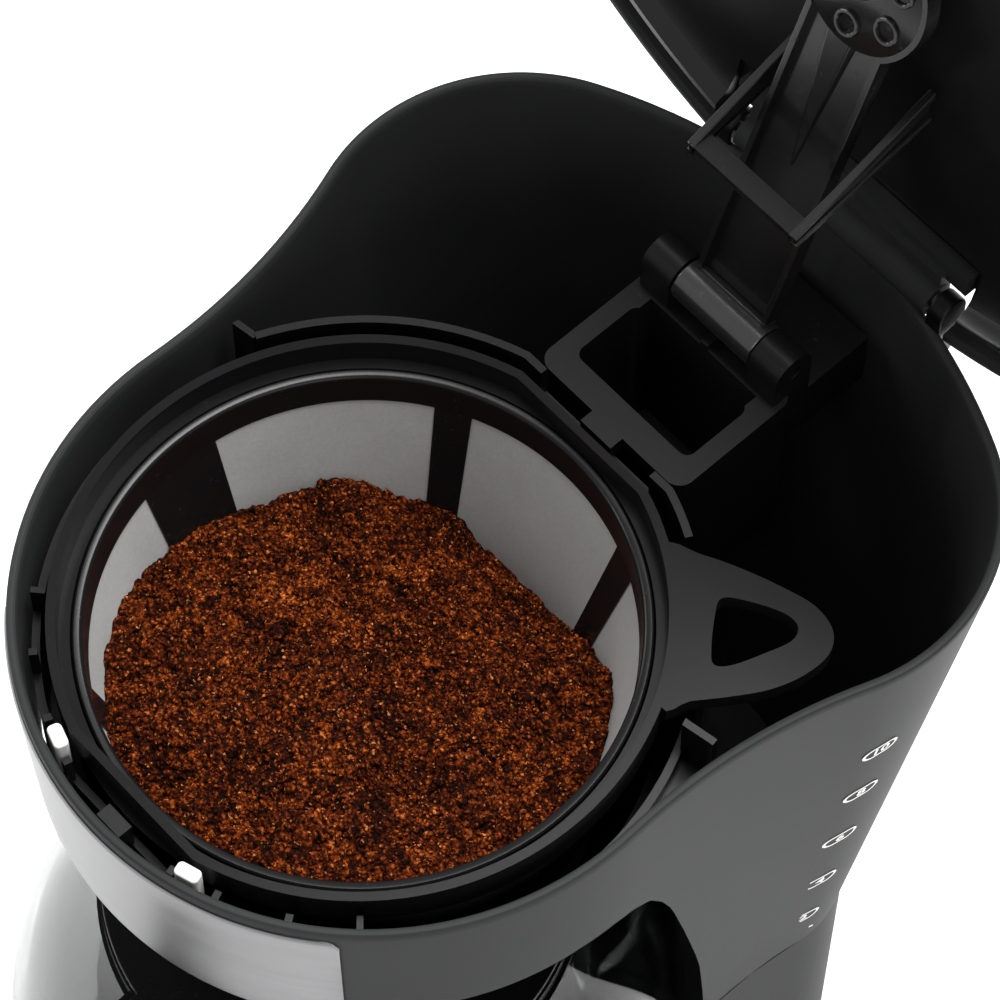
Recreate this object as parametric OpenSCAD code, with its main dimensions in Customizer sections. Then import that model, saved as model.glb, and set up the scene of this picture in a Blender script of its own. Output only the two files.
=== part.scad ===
// Drip coffee maker: a flared water tank behind a round brew head, a glass jug on a warming
// plate, a lid that opens at the rear and lifts a spray arm with it.
// Millimetres. +X right, +Y rear, +Z up, z = 0 on the table.
// Most parts are drawn about the brew axis, then moved back by shift_y as one.

/* [Housing] */
// Height of the tank's rim above the table
rim_h = 300; // [296:1:304]
// Radius of the brew head at the rim
head_r = 78.1; // [77.6:0.1:78.6]
// Wall of the mouldings
wall = 2.4; // [2:0.1:2.8]
// How far the tank's wall draws in between the rim and the seam
taper = 22.5; // [20:0.5:24]
// Height of the seam between the tank housing and the base
seam_h = 105; // [102:1:108]
// Depth of the brew head's skirt below the rim
skirt = 43.3; // [42:0.1:45]

/* [Lid and spray arm] */
// Angle that the lid stands open
lid_open = 90; // [86:1:92]
// Angle that the spray arm stands up when the lid is open
arm_open = 110; // [106:0.5:112]
// Distance from the arm's pivot to the middle of the spray head
arm_len = 99; // [94:1:102]

/* [Brew basket] */
// Outer radius of the basket's ring
ring_r = 67.5; // [67:0.1:68]
// Depth of the basket from its ring to its floor
basket_depth = 84; // [80:1:88]
// Outer radius of the reusable filter's ring
filter_r = 62.4; // [62:0.1:62.6]

/* [Jug and base] */
// Height of the warming plate's top
plate_h = 46; // [44:1:47]
// Largest radius of the jug
belly_r = 84.5; // [82:0.5:85]
// Radius of the jug's collar
collar_r = 57; // [56:0.5:58]
// Forward offset of the jug from the brew axis
jug_offset = 11.5; // [11:0.5:12]
// Thickness of the glass
glass_t = 2.6; // [2.2:0.1:3]

/* [Hidden] */

$fn = 64;
eps = 0.05;                             // working gap between mouldings that touch
shift_y = -11.1;                        // brew axis to the middle of the whole
ring_z = rim_h - 1.3;                   // top of the basket's ring
head_c = [0, 2.8];                      // centre of the head's round front
lobe_c = [41.5, 84];                    // centre of the tank's right rear corner
lobe_r = 49;                            // its radius
waist_r = 150;                          // hollow curve between head and tank
back_r = 140;                           // slow curve of the tank's rear
head_draft = 6;                         // draft of the head's front down to the seam
jug_c = [0, -jug_offset];

lid_axis = [142, ring_z + 5];           // y and z of the lid's hinge
lid_pin_r = 2;
arm_axis = [107, ring_z + 2];           // y and z of the arm's hinge
arm_pin_r = 2;
run_gap = 0.05;                         // running clearance of a pin in its bore
box_top = ring_z - 6.3;                 // top of the bridge column
box_w = 45.6;
box_y0 = 71.6;
box_y1 = 107;
well_w = 36;
well_y0 = 78.5;
well_y1 = 97.5;

chamber_r = 73.2;                       // outside of the round wall around the basket
chamber_t = 1.8;
back_wall_y = 69.5;                     // flat wall between the basket and the column
flat_y = 64.5;                          // the ring's flats, front and rear
filter_z = ring_z - 6.4;                // top of the filter's ring
mesh_top = filter_z - 8.6;
mesh_r = 60.2;
mesh_foot_r = 42;
mesh_foot = ring_z - 76;
basket_floor = ring_z - basket_depth;
spout_z = ring_z - 109;                 // mouth of the basket's spout
stem_z = plate_h + 132.2;               // the drip valve's stem ends just over the jug's lid

// ---- shapes shared by several parts ----

module place() translate([0, shift_y, 0]) children();

function arc(c, r, a0, a1, n) = [for (i = [0 : n]) let (a = a0 + (a1 - a0) * i / n)
    [c[0] + r * cos(a), c[1] + r * sin(a)]];
function angle_of(v) = atan2(v[1], v[0]);
// The point at distance ra from a and rb from b, on the right of the line from a to b
function apex(a, ra, b, rb) = let (d = norm(b - a), u = (b - a) / d,
    s = (ra * ra - rb * rb + d * d) / (2 * d), h = sqrt(ra * ra - s * s))
    a + u * s + [u[1], -u[0]] * h;

// Right half of an outline, front to rear: head arc, hollow waist, rear corner, slow rear curve
function right_half(r1, c1, r2, c2, n1 = 12, n2 = 10) = let (
    c3 = apex(c1, r1 + waist_r, c2, r2 + waist_r),
    a1 = angle_of(c3 - c1), a2 = angle_of(c3 - c2),
    c4 = [0, c2[1] - sqrt((back_r - r2) * (back_r - r2) - c2[0] * c2[0])],
    a4 = angle_of(c2 - c4))
    concat(arc(c1, r1, -90, a1, n1), arc(c3, waist_r, a1 + 180, a2 + 180, 4),
        arc(c2, r2, a2, a4, n2), arc(c4, back_r, a4, 90, 4));
function trim(p) = [for (i = [0 : len(p) - 1]) if (i == 0 || norm(p[i] - p[i - 1]) > 0.01) p[i]];
function outline(r1, c1, r2, c2) = let (h = trim(right_half(r1, c1, r2, c2)))
    concat(h, [for (i = [len(h) - 2 : -1 : 1]) [-h[i][0], h[i][1]]]);
// The tank housing's outline at depth d below the rim, moved in by o
function housing(d, o) = outline(head_r - head_draft * d / 195 - o, head_c,
    lobe_r - taper * d / 195 - o, lobe_c);
// The same outline at height z, taken between the seam and the rim as the wall itself is
function inside(z, o) = let (a = housing(rim_h - seam_h, o), b = housing(1, o),
    t = (z - seam_h) / (rim_h - 1 - seam_h)) [for (i = [0 : len(a) - 1]) a[i] * (1 - t) + b[i] * t];
function ring_at(points, z) = [for (p = points) [p[0], p[1], z]];

// A closed skin through rings of equal length; wrap joins the last ring to the first
module skin(rings, wrap = false) {
    n = len(rings[0]);
    m = len(rings);
    pts = [for (r = rings) each r];
    last = wrap ? m - 1 : m - 2;
    sides = [for (k = [0 : last]) for (i = [0 : n - 1])
        let (a = k * n, b = ((k + 1) % m) * n, j = (i + 1) % n)
        each [[a + i, b + i, b + j], [a + i, b + j, a + j]]];
    caps = wrap ? [] : [[for (i = [0 : n - 1]) i], [for (i = [n - 1 : -1 : 0]) (m - 1) * n + i]];
    polyhedron(points = pts, faces = concat(sides, caps), convexity = 8);
}
// Solid core of the housing, moved in by o, from z0 to z1
module core(o, z0, z1)
    skin([ring_at(inside(z0, o), z0), ring_at(inside(z1, o), z1)]);

module tube(r, t, h) difference() { cylinder(r = r, h = h); translate([0, 0, -1]) cylinder(r = r - t, h = h + 2); }
module rod_x(r, x0, x1) translate([x0, 0, 0]) rotate([0, 90, 0]) cylinder(r = r, h = x1 - x0);
module slab(x, y0, y1, z0, z1) translate([-x, y0, z0]) cube([2 * x, y1 - y0, z1 - z0]);
module rounded(x, y0, y1, r) {
    translate([-x, y0 + r]) square([2 * x, y1 - y0 - 2 * r]);
    translate([-x + r, y0]) square([2 * x - 2 * r, y1 - y0]);
    for (sx = [-1, 1]) for (y = [y0 + r, y1 - r]) translate([sx * (x - r), y]) circle(r = r);
}
// A profile in the y-z plane, drawn out along X between x0 and x1
module across(x0, x1) translate([x0, 0, 0]) rotate([90, 0, 90]) linear_extrude(x1 - x0) children();
module about_jug() translate([jug_c[0], jug_c[1], 0]) children();
module sector(a0, a1) rotate([0, 0, a0]) rotate_extrude(angle = a1 - a0) children();

// ---- niche for the jug: half profile about the jug's axis, grown by g ----
function niche_profile(g) = let (t = ring_z) [
    [89.5 + g, seam_h - 70], [89.5 + g, t - 200], [87 + g, t - 140], [84.4 + g, t - 104],
    [83.2 + g, t - 86], [82.2 + g, t - 70], [80.9 + g, t - 55], [79.8 + g, t - 47.5],
    [78.7 + g, t - 44], [77 + g, rim_h - skirt]];
module niche_space() about_jug() rotate_extrude($fn = 96)
    polygon(concat([[0, seam_h - 70]], niche_profile(0), [[0, rim_h - skirt]]));

// ---- fixed housing ----

module body_shell() color("#515254") place() difference() {
    union() {
        difference() {
            skin([ring_at(housing(rim_h - seam_h, 0), seam_h), ring_at(housing(1.4, 0), rim_h - 1.4),
                ring_at(housing(0, 0.8), rim_h), ring_at(housing(0, wall - 0.5), rim_h),
                ring_at(housing(1, wall), rim_h - 1), ring_at(housing(rim_h - seam_h, wall), seam_h)], true);
            niche_space();
            slab(30.6, 137, 150, ring_z - 1, rim_h + 5);
        }
        for (sx = [-1, 1]) lid_ear(sx);
    }
    translate([0, lid_axis[0], lid_axis[1]]) rod_x(lid_pin_r + eps, -40, 40);
}
// One of the two ears that hold the lid's pin on the rear wall
module lid_ear(sx) translate([sx * 33.2, 0, 0]) {
    translate([0, lid_axis[0], lid_axis[1]]) rod_x(4.3, -2.2, 2.2);
    slab(2.2, lid_axis[0] - 4.2, lid_axis[0] + 4.3, lid_axis[1] - 16, lid_axis[1]);
}

// Curved wall behind the jug; it is the tank's front wall too
module niche_wall() color("#2b2c2e") place() intersection() {
    about_jug() rotate_extrude($fn = 96) polygon(concat(niche_profile(2.2),
        [for (i = [len(niche_profile(0)) - 1 : -1 : 0]) niche_profile(0.1)[i]]));
    core(wall + 1.2, seam_h + 0.1, rim_h - skirt - 2);
}

module tank_floor() color("#1d1e1f") place() difference() {
    core(wall + eps, seam_h + 0.2, seam_h + 2.6);
    about_jug() cylinder(r = 91.9, h = 400, $fn = 96);
    translate([-28, 98, 0]) cylinder(r = 5.1, h = 400);
    translate([0, 98, 0]) cylinder(r = 6.2, h = 400);
}

// Round chamber that takes the brew basket, with the head's ceiling and the tank partition
module brew_chamber() color("#1a1b1c") place() {
    z0 = rim_h - skirt;
    low = ring_z - 14;
    linear_extrude_at(z0, low - z0) difference() { chamber_plan(0); chamber_plan(chamber_t); }
    translate([0, 0, z0 - 46]) rotate_extrude($fn = 96) polygon([[54, 0], [66.6, 46], [64.8, 46],
        [52.2, 1.8], [16, 1.8], [16, 0]]);
    partition(low);
    // floor between the round wall and the head's skin, and its rear half over the jug's niche
    linear_extrude_at(z0, 2) difference() {
        polygon(inside(z0, wall + 0.8));
        circle(r = 64.8, $fn = 96);
        translate([-100, 12]) square([200, 200]);
    }
    linear_extrude_at(z0 - 1.9, 2) difference() {
        intersection() {
            polygon(inside(z0 - 2, wall + 0.9));
            translate(jug_c) circle(r = 81.2, $fn = 96);
            translate([-100, 11]) square([200, 200]);
        }
        circle(r = 64.8, $fn = 96);
    }
    side_decks();
    for (a = [-138, -42]) head_rib(a, 1.4, z0 + 1, ring_z - 5);
    for (a = [-126, -113, -104, -76, -67, -54]) shell_rib(a, z0 + 1, ring_z - 5);
    latch_boss();
}
// Plan of the round wall: flat in front, and never closer than a hair to the head's skin
module chamber_plan(t) intersection() {
    circle(r = chamber_r - t, $fn = 96);
    translate(head_c) circle(r = head_r - head_draft * skirt / 195 - wall - 0.6 - t, $fn = 96);
    slab2(90, -68.3 + t, back_wall_y - t);
}
module linear_extrude_at(z, h) translate([0, 0, z]) linear_extrude(h) children();
// Tall rear part of the round wall, flat in front of the column, with its ribs to the tank wall
module partition(low) {
    top = ring_z - 1.5;
    difference() {
        linear_extrude_at(low, top - low) difference() {
            intersection() { circle(r = chamber_r, $fn = 96); slab2(90, -90, back_wall_y); }
            intersection() { circle(r = chamber_r - chamber_t, $fn = 96); slab2(90, -90, back_wall_y - chamber_t); }
        }
        slab(box_w / 2 - 5.5, 60, 80, ring_z - 11.5, ring_z + 5);
        sector(157.5, 422) translate([0, low - 1]) square([90, top]);
    }
    linear_extrude_at(rim_h - skirt, top - 0.4 - rim_h + skirt) {
        polygon([[-66.4, 28.6], [-66.9, 27], [-72.9, 26.1], [-72.6, 27.7]]);
        polygon([[64.6, 33.8], [65.2, 32.2], [73, 33.7], [72.7, 35.3]]);
    }
}
module slab2(x, y0, y1) translate([-x, y0]) square([2 * x, y1 - y0]);
// Low decks between the round wall and the tank housing on both sides
module side_decks() for (sx = [-1, 1]) linear_extrude_at(ring_z - 20, 2) difference() {
    intersection() {
        polygon(inside(rim_h - skirt, wall + 0.8));
        translate([sx > 0 ? 60 : -90, 8]) square([30, 25]);
    }
    circle(r = chamber_r - 0.5, $fn = 96);
}
// A full rib from the round wall to the head's skin, and a stub that stands on the skin only
module head_rib(a, t, z0, z1) rotate([0, 0, a]) translate([68.6, -t / 2, z0])
    cube([housing_reach(a) - 69.2, t, z1 - z0]);
module shell_rib(a, z0, z1) rotate([0, 0, a]) translate([housing_reach(a) - 2.4, -0.8, z0])
    cube([1.9, 1.6, z1 - z0]);
// Distance from the brew axis to the inside of the head's skin at angle a, low on the skirt
function housing_reach(a) = let (r = head_r - head_draft * skirt / 195 - wall, y = head_c[1], s = sin(a))
    y * s + sqrt(r * r - y * y * (1 - s * s));
// Catch for the lid's front edge
module latch_boss() translate([-3.6, -housing_reach(-90) + 0.3, rim_h - skirt + 1]) cube([7.2, 3.6, skirt - 8]);

// Column in the tank: a well for hot water, the arm's knuckles, and a ledge back to the wall
module bridge_column() color("#1f2021") place() difference() {
    union() {
        linear_extrude_at(ring_z - 60, box_top - ring_z + 60) rounded(box_w / 2, box_y0, box_y1, 4);
        slab(19, box_y1 - 1, 134.2, ring_z - 34, ring_z - 17);
        slab(4.8, 68, box_y0 + 1, ring_z - 10.5, box_top);
        slab(1.1, well_y1 + 3, well_y1 + 7, box_top - 2, box_top + 1.5);
        for (sx = [-1, 1]) arm_knuckle(sx);
        translate([0, 98, seam_h + 2.7]) cylinder(r = 9, h = ring_z - 60 - seam_h);
    }
    linear_extrude_at(ring_z - 56, 80) rounded(well_w / 2, well_y0, well_y1, 2.5);
    slab(16.9, well_y1 - 3, well_y1 + 3.2, ring_z - 56, ring_z + 20);
    translate([0, 98, seam_h - 1]) cylinder(r = 6.2, h = ring_z - 56 - seam_h);
    about_jug() translate([0, 0, ring_z - 61]) cylinder(r = 83.9, h = 8, $fn = 96);
    translate([0, arm_axis[0], arm_axis[1]]) rod_x(arm_pin_r + eps, -30, 30);
    translate([0, arm_axis[0], arm_axis[1]]) rod_x(6.2, -12.6, 12.6);
}
module arm_knuckle(sx) translate([sx * 17.05, 0, 0]) {
    translate([0, arm_axis[0], arm_axis[1]]) rod_x(5.5, -4.4, 4.4);
    slab(4.4, arm_axis[0] - 5.5, arm_axis[0] + 5.5, box_top - 4, arm_axis[1]);
    slab(4.4, arm_axis[0] - 1, arm_axis[0] + 5.5, ring_z - 20, arm_axis[1] - 2);
}

// Brushed metal band around the front of the head
module front_panel() color("#b9babc") place() difference() {
    intersection() {
        skin([ring_at(housing(49, -0.7), rim_h - 49), ring_at(housing(3.4, -0.7), rim_h - 3.4),
            ring_at(housing(3.4, -0.15), rim_h - 3.4), ring_at(housing(49, -0.15), rim_h - 49)], true);
        slab(52.5, -90, -30, 0, 400);
    }
    about_jug() translate([0, 0, rim_h - skirt - 6]) cylinder(r = 62.2, h = 4, $fn = 96);
}

// ---- base ----

function foot_outline(o) = outline(77.5 - o, [0, jug_c[1]], lobe_r - taper - o, lobe_c);
function tower_outline(o) = housing(rim_h - seam_h, o);
module base_housing() color("#454648") place() {
    deck = plate_h - 4;
    difference() {
        union() {
            linear_extrude_at(6, deck - 6) polygon(foot_outline(0));
            difference() {
                linear_extrude_at(deck - 1, seam_h - deck + 1 - eps) polygon(tower_outline(0));
                about_jug() translate([0, 0, deck]) cylinder(r = 89.5, h = 200, $fn = 96);
            }
        }
        linear_extrude_at(5, deck - 5 - wall) polygon(foot_outline(wall));
        difference() {
            linear_extrude_at(30, seam_h) polygon(tower_outline(wall));
            about_jug() cylinder(r = 92, h = 300, $fn = 96);
        }
        about_jug() cylinder(r = 63.2, h = 100, $fn = 96);
        switch_opening(11.2, 7.2);
        translate([17, 0, 0]) lens_bore(3.1);
        translate([30, 0, 0]) cord_bore(7);
    }
    for (p = boss_places) translate([p[0], p[1], 6]) tube(4.4, 2.95, deck - 8);
}
boss_places = [[-54.4, -57.1], [54.4, -57.1], [-52.4, 102.8], [52.4, 102.8]];
switch_z = 24;
module at_front() translate([0, jug_c[1] - 77.5, switch_z]) rotate([90, 0, 0]) children();
module switch_opening(x, z) at_front() {
    translate([-x, -z, -8]) cube([2 * x, 2 * z, 16]);
    translate([-13.1, -9.1, -1.7]) cube([26.2, 18.2, 10]);
}
module lens_bore(r) at_front() translate([0, 0, -10]) cylinder(r = r, h = 20);
module cord_bore(r) translate([0, 140, 20]) rotate([90, 0, 0]) cylinder(r = r, h = 40);

module base_plate() color("#2a2b2c") place() difference() {
    linear_extrude_at(3, 2.9) polygon(foot_outline(0.6));
    for (p = boss_places) translate([p[0], p[1], 0]) cylinder(r = 1.9, h = 20);
    for (p = foot_places) translate([p[0], p[1], 0]) cylinder(r = 3.1, h = 20);
    for (y = [20 : 7 : 62]) slab(22, y, y + 2.6, 0, 20);
}
foot_places = [[-44, -62], [44, -62], [-46, 84], [46, 84]];
module feet() color("#161616") place() for (p = foot_places) translate([p[0], p[1], 0]) {
    cylinder(r1 = 7, r2 = 8, h = 2.95);
    cylinder(r = 3, h = 7.5);
}
module base_screws() color("#9a9b9d") place() for (p = boss_places) translate([p[0], p[1], 0]) {
    translate([0, 0, 1]) difference() { cylinder(r = 3.2, h = 1.95); translate([0, 0, -0.1]) cylinder(r = 1.4, h = 1, $fn = 6); }
    translate([0, 0, 2.9]) cylinder(r = 1.4, h = 12);
}

module hot_plate() color("#26272a") place() about_jug() rotate_extrude($fn = 96)
    polygon([[0, plate_h - 4], [60, plate_h - 4], [60, plate_h - 9], [62, plate_h - 9], [62, plate_h - 1],
        [61.2, plate_h], [56, plate_h], [55, plate_h - 1.2], [0, plate_h - 1.2]]);
module plate_seal() color("#1b1b1b") place() about_jug() rotate_extrude($fn = 96)
    polygon([[62.05, plate_h - 8.5], [63.15, plate_h - 8.5], [63.15, plate_h - 3.9], [64.6, plate_h - 3.9],
        [64.6, plate_h - 2.6], [62.05, plate_h - 2.6]]);
// Cast heating element with its water passage: a horseshoe under the plate
heater_z = plate_h - 4.1 - 8.6;
module heating_element() color("#a8a9ab") place() about_jug() {
    sector(115, 425) translate([41, heater_z]) square([11, 8.5]);
    for (a = [115, 65]) rotate([0, 0, a]) translate([46.5, 0, heater_z + 4.2]) rotate([a > 90 ? -90 : 90, 0, 0]) tube(3.6, 1, 9);
}
module thermostat() color("#c8c3b6") place() about_jug() translate([0, -46.5, heater_z - 6.1]) {
    cylinder(r = 7, h = 6);
    for (x = [-3, 3]) translate([x - 1, -0.4, -6]) cube([2, 0.8, 6]);
}
module thermal_fuses() color("#d9d2c0") place() about_jug() for (a = [-35, 215]) rotate([0, 0, a])
    translate([46.5, 0, heater_z - 3.2]) { rod_x(3, -9, 9); }

// Silicone hoses and the valve between the tank and the heater
hose_r = 5;
cold_x = -28;
module cold_hose() color("#c9c9c4") place() {
    translate([cold_x, 98, 66.1]) tube(hose_r, 1.5, seam_h + 2.5 - 66.1);
}
module check_valve() color("#e8e8e2") place() translate([cold_x, 98, 50]) {
    difference() { cylinder(r = 6.5, h = 16); translate([0, 0, 2]) cylinder(r = 3.4, h = 20); }
}
module hot_hose() color("#c9c9c4") place() translate([0, 98, 62]) tube(hose_r, 1.5, seam_h - 62 - 8);
module riser_tube() color("#d0d0ca") place() translate([0, 98, seam_h - 7.9]) tube(6.1, 1.6, ring_z - 57 - seam_h);

module switch_bezel() color("#111111") place() at_front() difference() {
    union() {
        translate([-13, -9, -1.6]) cube([26, 18, 2.4]);
        translate([-11.1, -7.1, -7.9]) cube([22.2, 14.2, 7]);
    }
    translate([-9.3, -5.7, -6]) cube([18.6, 11.4, 12]);
    translate([0, 0, -1.8]) rotate([0, 90, 0]) translate([0, 0, -11]) cylinder(r = 1.05, h = 22);
}
module power_rocker() color("#1c1c1c") place() at_front() {
    translate([0, 0, -1.8]) across_rocker();
    translate([0, 0, -1.8]) rotate([0, 90, 0]) translate([0, 0, -10.6]) cylinder(r = 1, h = 21.2);
}
module across_rocker() translate([-8.9, 0, 0]) rotate([90, 0, 90]) linear_extrude(17.8)
    polygon([[-4.7, 3.6], [-4.7, -1], [-2, -2.8], [2, -2.8], [4.7, -1], [4.7, 1.6], [0, 2.4]]);
module pilot_lens() color("#c8402a") place() translate([17, 0, 0]) at_front() translate([0, 0, -6]) {
    cylinder(r = 3, h = 6.9);
}
module cord_inlet() color("#141414") place() translate([30, 120.6, 20]) rotate([90, 0, 0]) difference() {
    union() { translate([0, 0, -2.6]) cylinder(r = 8.6, h = 2.6); cylinder(r = 6.9, h = 8); }
    translate([0, 0, -5]) cylinder(r = 3.6, h = 20);
}

// Two soft pads that the closed lid lands on
module lid_buffers() color("#d8d8d4") place() for (sx = [-1, 1])
    rotate([0, 0, sx * 17.5]) translate([0, -70.1, ring_z - 13.9]) linear_extrude(13.4) rounded(2.9, -1.7, 1.7, 1.2);

// ---- lid: drawn closed, then stood open about its hinge ----

module swung(axis, a) translate([0, axis[0], axis[1]]) rotate([-a, 0, 0]) translate([0, -axis[0], -axis[1]]) children();
module lid_place() place() swung(lid_axis, lid_open) children();
lid_mid = [0, 35];
lid_base = outline(head_r + 0.2, head_c, 32, [58.6, 104.5]);
function lid_ring(s, z) = [for (p = lid_base) let (q = lid_mid + (p - lid_mid) * s) [q[0], q[1], ring_z + z]];
module lid_cover() color("#3c3d3f") lid_place() difference() {
    union() {
        difference() {
            skin([lid_ring(0.30, 15.4), lid_ring(0.62, 14.4), lid_ring(0.84, 12.1), lid_ring(0.93, 9.6),
                lid_ring(0.972, 6), lid_ring(0.976, 1.7), lid_ring(1, 1.7), lid_ring(1, 7), lid_ring(0.985, 9.6),
                lid_ring(0.95, 12), lid_ring(0.86, 14.6), lid_ring(0.62, 16.8), lid_ring(0.30, 17.7)]);
            slab(36, 136.6, 160, ring_z - 5, ring_z + 30);
        }
        slab(35.9, 131, 136.7, ring_z + 7.6, ring_z + 11.4);
        slab(30.2, 134, lid_axis[0], lid_axis[1] + 0.6, lid_axis[1] + 4.3);
        translate([0, lid_axis[0], lid_axis[1]]) rod_x(4.3, -30.2, 30.2);
    }
    translate([0, lid_axis[0], lid_axis[1]]) rod_x(lid_pin_r + eps, -40, 40);
}
// Inner panel of the lid, with the upstanding lip that gives its edge a double line
module lid_liner() color("#151617") lid_place() difference() {
    skin([lid_ring(0.28, 13.2), lid_ring(0.62, 12.2), lid_ring(0.83, 9.9), lid_ring(0.905, 6.8), lid_ring(0.925, 2.6),
        lid_ring(0.945, 2.6), lid_ring(0.945, 6.6), lid_ring(0.92, 8.9), lid_ring(0.84, 11.6), lid_ring(0.62, 13.8),
        lid_ring(0.28, 14.9)]);
    slab(38, 127.5, 160, ring_z - 5, ring_z + 30);
}
// Stirrup under the lid: it straddles the arm, lifts it, and drops into the well
module lid_stirrup() color("#17181a") lid_place() {
    for (x = [-16.6, 14.6]) across(x, x + 2)
        polygon([[81.5, ring_z + 11.4], [96.4, ring_z - 28.6], [100, ring_z - 28.6], [100.2, ring_z - 25],
            [92.5, ring_z + 11]]);
    slab(14.7, 96.4, 98.6, ring_z - 28.6, ring_z - 23.4);
}
module lid_pin() color("#a9aaac") place() translate([0, lid_axis[0], lid_axis[1]]) rod_x(lid_pin_r, -34.8, 34.8);

// ---- spray arm: drawn lying closed, then stood up about its pivot ----

module arm_place() place() swung(arm_axis, arm_open) children();
head_y = arm_axis[0] - arm_len;
module spray_arm() color("#18191b") arm_place() difference() {
    union() {
        translate([0, arm_axis[0], arm_axis[1]]) rod_x(5.5, -12.2, 12.2);
        slab(10.8, 40, arm_axis[0] - 1, ring_z + 3.6, ring_z + 5.4);
        for (x = [-10.8, 9.2]) translate([x, head_y + 14, ring_z + 1.2]) cube([1.6, 88 - head_y - 14 + 14, 4.2]);
        slab(10.8, head_y + 12, 42, ring_z + 3.6, ring_z + 5.4);
        translate([0, head_y, ring_z + 2.6]) cylinder(r = 17, h = 2.8);
    }
    translate([0, arm_axis[0], arm_axis[1]]) rod_x(arm_pin_r + run_gap, -20, 20);
    translate([0, head_y, ring_z + 2]) cylinder(r = 15.6, h = 2.2);
}
// Lower plate of the spray head, with a ring of raised outlets
module spray_plate() color("#141516") arm_place() difference() {
    union() {
        translate([0, head_y, ring_z + 1.2]) cylinder(r = 17, h = 1.35);
        for (p = outlet_places) translate([p[0], head_y + p[1], ring_z + 0.4]) cylinder(r = 3.2, h = 1.2);
    }
    for (p = outlet_places) translate([p[0], head_y + p[1], ring_z - 1]) cylinder(r = 2.2, h = 6);
}
outlet_places = concat([[0, 0]], [for (a = [30 : 60 : 330]) [10.6 * cos(a), 10.6 * sin(a)]]);
module arm_pin() color("#a9aaac") place() translate([0, arm_axis[0], arm_axis[1]]) rod_x(arm_pin_r, -21.2, 21.2);

// ---- brew basket ----

module flatted(r, y) intersection() { circle(r = r, $fn = 96); slab2(90, -y, y); }
module brew_basket() color("#101112") place() difference() {
    union() {
        linear_extrude_at(ring_z - 9, 9) flatted(ring_r, flat_y);
        translate([0, 0, basket_floor]) cylinder(r1 = 50, r2 = 66.2, h = basket_depth - 9, $fn = 96);
        basket_handle();
        translate([0, 0, spout_z]) cylinder(r = 9, h = basket_floor - spout_z + 1);
    }
    linear_extrude_at(ring_z - 7, 8) flatted(65.4, flat_y - 2);
    translate([0, 0, basket_floor + 2]) cylinder(r1 = 48, r2 = 62.9, h = basket_depth - 8.9, $fn = 96);
    difference() {
        translate([0, 0, spout_z - 1]) cylinder(r = 6.5, h = basket_floor - spout_z + 20);
        slab(1, -8, 8, basket_floor - 5, basket_floor - 3);
    }
}
// A smooth closed curve through the given points
function through(p, k = 4) = let (n = len(p)) [for (i = [0 : n - 1]) for (j = [0 : k - 1])
    let (t = j / k, a = p[(i + n - 1) % n], b = p[i], c = p[(i + 1) % n], d = p[(i + 2) % n])
    (2 * b + t * (c - a) + t * t * (2 * a - 5 * b + 4 * c - d) + t * t * t * (3 * b - a - 3 * c + d)) / 2];
handle_edge = [[32.2, 57.5], [39.1, 62.2], [47.3, 66.2], [56.5, 69.6], [64.7, 71.7], [71.4, 70.4], [74.8, 65.8],
    [74.8, 58.6], [72.3, 50.8], [67.8, 43.4], [63, 36.6], [59.6, 31.1], [44, 43]];
handle_hole = [[49.9, 58.4], [54.6, 62.2], [61.4, 65.6], [65.7, 65.6], [67.2, 62.2], [65.5, 56.1], [62.9, 49.1],
    [60.3, 46.2], [57.4, 48], [51.8, 54.4]];
module basket_handle() linear_extrude_at(ring_z - 4.4, 4.4) difference() {
    polygon(through(handle_edge));
    polygon(through(handle_hole));
}
// Drip stop under the basket: seat, sprung stem and spring
module valve_seat() color("#303133") place() translate([0, 0, spout_z + 0.2]) difference() {
    cylinder(r = 6.45, h = 3);
    translate([0, 0, -1]) cylinder(r = 3, h = 8);
}
module drip_valve() color("#c6c6c0") place() {
    translate([0, 0, stem_z]) cylinder(r = 2.4, h = spout_z + 9 - stem_z);
    translate([0, 0, spout_z + 3.3]) cylinder(r = 5.6, h = 1.8);
}
module valve_spring() color("#b5b6b8") place() translate([0, 0, spout_z + 5.2])
    skin([for (k = [0 : 80]) let (a = k * 22.5) [for (j = [0 : 7]) let (b = -j * 45, r = 4.2 + 0.4 * cos(b))
        [r * cos(a), r * sin(a), 0.45 + 0.176 * k + 0.4 * sin(b)]]]);

// ---- reusable filter with its coffee ----

// The ribs of the filter's wall: where each stands and half the angle that it covers
ribs = [[2, 10], [66, 4.2], [119, 4.2], [182, 10], [243, 4.2], [303, 4.2]];
mesh_slope = (mesh_r - mesh_foot_r) / (mesh_top - mesh_foot);
module filter_frame() color("#131415") place() {
    rotate_extrude($fn = 96) polygon([[60.6, filter_z], [filter_r, filter_z], [filter_r, filter_z - 2],
        [61.6, filter_z - 2.4], [mesh_r + 0.9, mesh_top - 0.6], [mesh_r - 0.9, mesh_top - 0.6], [60.2, filter_z - 0.6]]);
    for (r = ribs) sector(r[0] - r[1], r[0] + r[1]) polygon(cone_band(0.6, 0.7));
    rotate_extrude($fn = 96) polygon([[30, mesh_foot - 1.8], [mesh_foot_r + 1, mesh_foot - 1.8],
        [mesh_foot_r + 1, mesh_foot], [30, mesh_foot]]);
}
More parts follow.
